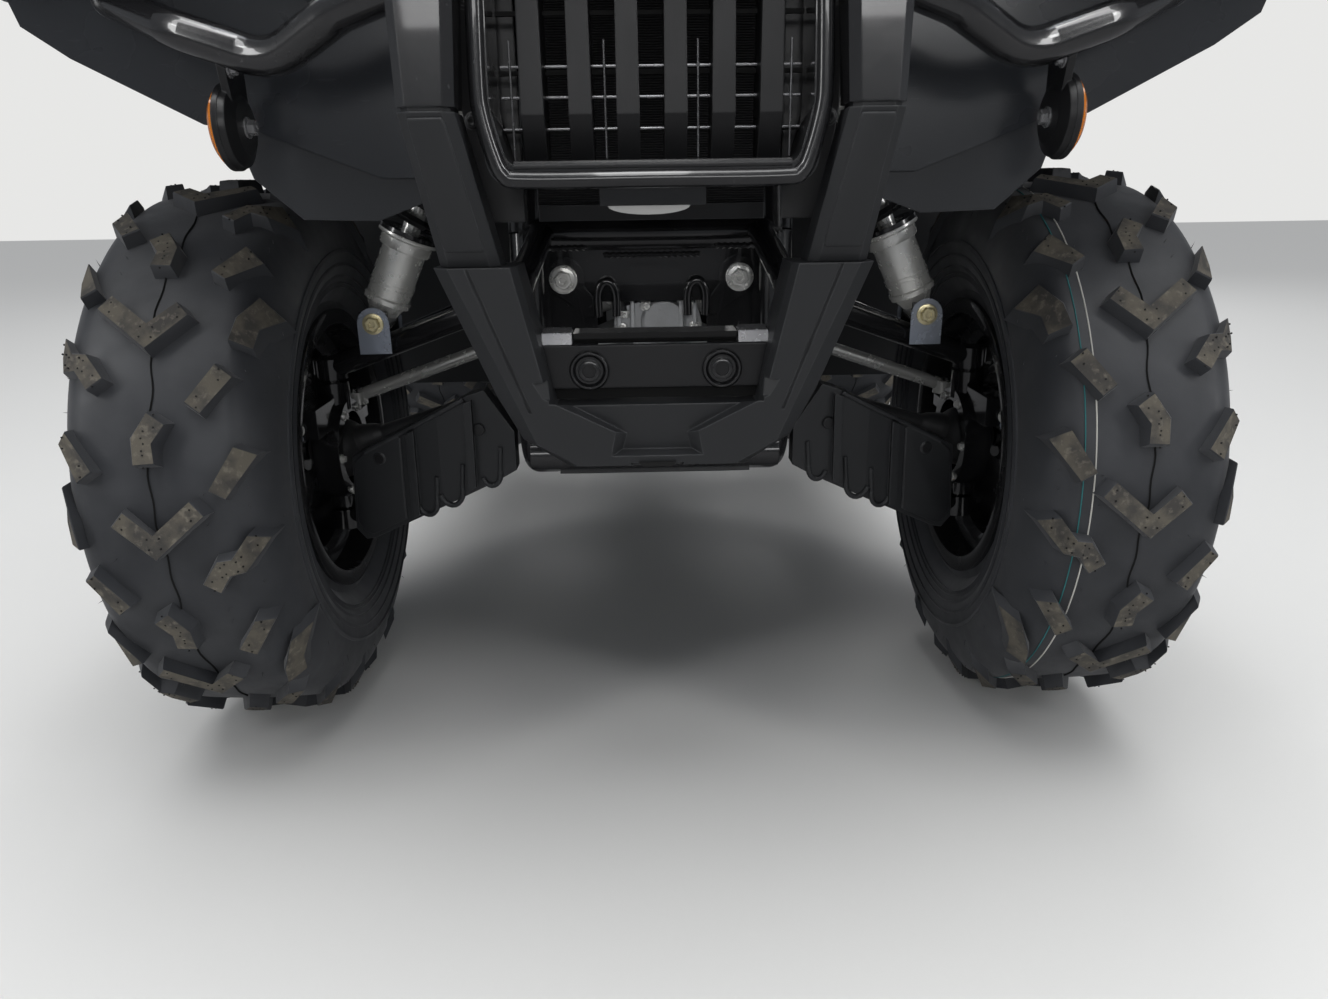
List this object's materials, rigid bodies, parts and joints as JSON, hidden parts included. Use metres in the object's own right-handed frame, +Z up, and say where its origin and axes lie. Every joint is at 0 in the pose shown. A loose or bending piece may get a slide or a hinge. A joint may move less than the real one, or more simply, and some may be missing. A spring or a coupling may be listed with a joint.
{
  "type": "quad bike",
  "caption": "Whole quad bike: tube frame, knobbly tyres on pressed wheels, wishbones, open engine, racks and handlebar steering, on its wheels.",
  "frame": {"origin": "on the floor under the middle of the whole vehicle", "axes": "+Z up, +Y towards the tail, the nose at -Y, +X to the machine's left side"},
  "size_m": [1.1986, 2.135, 1.1914],
  "materials": {
    "tyre": "dusty tread",
    "wheel_steel": "gloss black",
    "cast_metal": "as cast",
    "frame_black": "gloss black",
    "guard_plastic": "satin charcoal",
    "satin_plastic": "satin black",
    "boot_rubber": "matt",
    "zinc_steel": "bright zinc",
    "grip_rubber": "matt",
    "lever_metal": "satin",
    "spring_steel": "gloss black",
    "exhaust_steel": "dull",
    "radiator_metal": "black fins",
    "lamp_clear": "clear lens",
    "amber_plastic": "moulded prisms",
    "red_plastic": "moulded prisms",
    "body_plastic": "gloss dark grey",
    "liner_plastic": "satin bluish black",
    "seat_vinyl": "grained vinyl",
    "rack_steel": "satin black"
  },
  "bodies": {
    "root": {"arch_liners": "liner_plastic", "arm_bolts": "zinc_steel", "arm_guards": "guard_plastic", "brush_guard": "frame_black", "bumper_legs": "guard_plastic", "bumper_stays": "frame_black", "bumper_stays_high": "frame_black", "drive_shafts": "frame_black", "engine": "cast_metal", "exhaust": "exhaust_steel", "footwells": "guard_plastic", "frame": "frame_black", "front_cover": "body_plastic", "front_differential": "cast_metal", "front_fenders": "body_plastic", "front_rack": "rack_steel", "fuel_cap": "satin_plastic", "grille": "guard_plastic", "guard_plate": "satin_plastic", "half_shafts_front": "boot_rubber", "half_shafts_rear": "boot_rubber", "headlights": "lamp_clear", "hitch": "frame_black", "lower_arms_front": "frame_black", "lower_arms_rear": "frame_black", "lower_guard": "guard_plastic", "radiator": "radiator_metal", "rear_differential": "cast_metal", "rear_fenders": "body_plastic", "rear_rack": "rack_steel", "reflector_brackets": "satin_plastic", "reflectors": "amber_plastic", "seat": "seat_vinyl", "shocks": "zinc_steel", "skid_plate": "guard_plastic", "springs": "spring_steel", "tail_lamp": "red_plastic", "tank_cover": "body_plastic", "upper_arms_front": "frame_black", "upper_arms_rear": "frame_black", "uprights_rear": "cast_metal"},
    "steering": {"steering_stem": "frame_black", "handlebar": "frame_black", "grips": "grip_rubber", "brake_levers": "lever_metal", "meter_pod": "satin_plastic"},
    "knuckle_left": {"knuckle_front_left": "cast_metal"},
    "knuckle_right": {"knuckle_front_right": "cast_metal"},
    "rod_left": {"tie_rod_left": "zinc_steel"},
    "rod_right": {"tie_rod_right": "zinc_steel"},
    "wheel_body_front_left": {"tyre_front_left": "tyre", "wheel_front_left": "wheel_steel"},
    "wheel_body_front_right": {"tyre_front_right": "tyre", "wheel_front_right": "wheel_steel"},
    "wheel_body_rear_left": {"tyre_rear_left": "tyre", "wheel_rear_left": "wheel_steel"},
    "wheel_body_rear_right": {"tyre_rear_right": "tyre", "wheel_rear_right": "wheel_steel"}
  },
  "joints": [
    {"name": "steer", "type": "hinge", "parent": "root", "child": "steering", "pos_m": [0, -0.631, 0.51533], "axis": [0, 0.454, 0.891], "range_deg": [-38, 38]},
    {"name": "knuckle_turn_left", "type": "hinge", "parent": "root", "child": "knuckle_left", "pos_m": [0.374, -0.645, 0.304], "axis": [0, 0, 1], "range_deg": [-34.5, 34.5]},
    {"name": "rod_turn_left", "type": "hinge", "parent": "knuckle_left", "child": "rod_left", "pos_m": [0.374, -0.572, 0.35], "axis": [0, 0, 1], "range_deg": [-37, 37]},
    {"name": "knuckle_turn_right", "type": "hinge", "parent": "root", "child": "knuckle_right", "pos_m": [-0.374, -0.645, 0.304], "axis": [0, 0, 1], "range_deg": [-34.5, 34.5]},
    {"name": "rod_turn_right", "type": "hinge", "parent": "knuckle_right", "child": "rod_right", "pos_m": [-0.374, -0.572, 0.35], "axis": [0, 0, 1], "range_deg": [-37, 37]},
    {"name": "spin_front_left", "type": "hinge", "parent": "knuckle_left", "child": "wheel_body_front_left", "pos_m": [0.447, -0.645, 0.304], "axis": [1, 0, 0], "continuous": true},
    {"name": "spin_front_right", "type": "hinge", "parent": "knuckle_right", "child": "wheel_body_front_right", "pos_m": [-0.447, -0.645, 0.304], "axis": [1, 0, 0], "continuous": true},
    {"name": "spin_rear_left", "type": "hinge", "parent": "root", "child": "wheel_body_rear_left", "pos_m": [0.475, 0.635, 0.304], "axis": [1, 0, 0], "continuous": true},
    {"name": "spin_rear_right", "type": "hinge", "parent": "root", "child": "wheel_body_rear_right", "pos_m": [-0.475, 0.635, 0.304], "axis": [1, 0, 0], "continuous": true}
  ],
  "couplings": [
    {"joint": "knuckle_turn_left", "follows": "steer", "ratio": 0.9},
    {"joint": "rod_turn_left", "follows": "steer", "ratio": -0.955},
    {"joint": "knuckle_turn_right", "follows": "steer", "ratio": 0.9},
    {"joint": "rod_turn_right", "follows": "steer", "ratio": -0.955}
  ]
}
